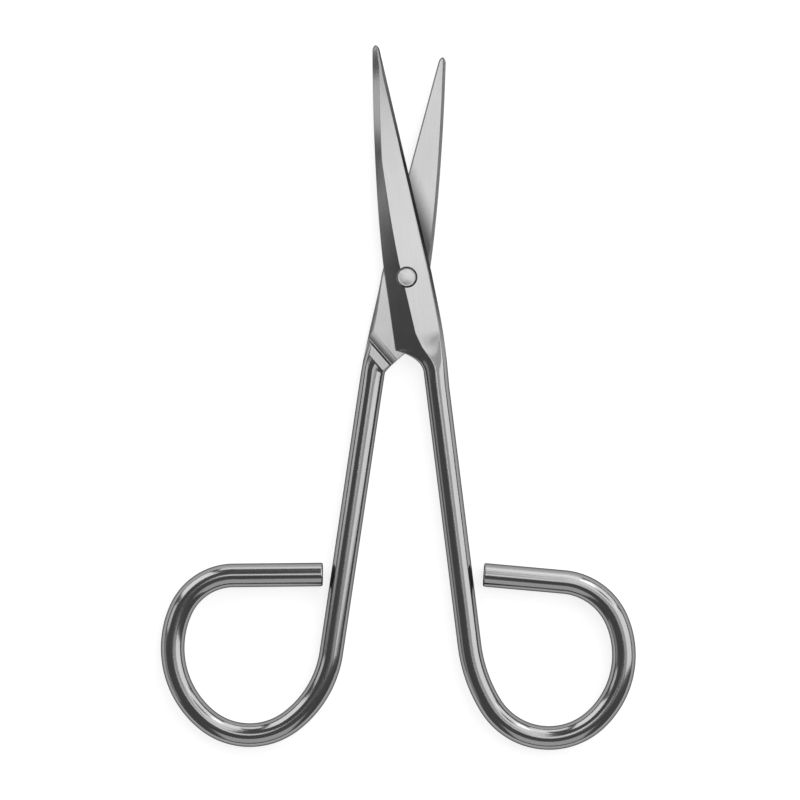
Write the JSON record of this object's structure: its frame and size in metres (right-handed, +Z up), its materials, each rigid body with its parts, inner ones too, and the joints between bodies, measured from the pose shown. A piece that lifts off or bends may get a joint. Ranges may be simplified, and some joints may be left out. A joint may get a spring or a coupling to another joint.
{
  "type": "disposable scissors",
  "caption": "Small surgical wire scissors with straight pointed blades, a riveted pivot and open finger loops bent from the wire.",
  "frame": {"origin": "on the rivet's axis, at the surface the scissors lie on", "axes": "+Z up along the rivet's axis, out of the rivet's head; +Y towards the blades' tips; -Y towards the finger loops"},
  "size_m": [0.076, 0.1128, 0.0042],
  "materials": {
    "half_steel": "polished wire, satin ground blades",
    "rivet_steel": "polished"
  },
  "bodies": {
    "rear": {"rear_half": "half_steel", "rivet": "rivet_steel"},
    "front": {"front_half": "half_steel"}
  },
  "joints": [
    {"name": "pivot", "type": "hinge", "parent": "rear", "child": "front", "pos_m": [0, 0, 0.0019], "axis": [0, 0, 1], "range_deg": [-17.4, 126]}
  ]
}
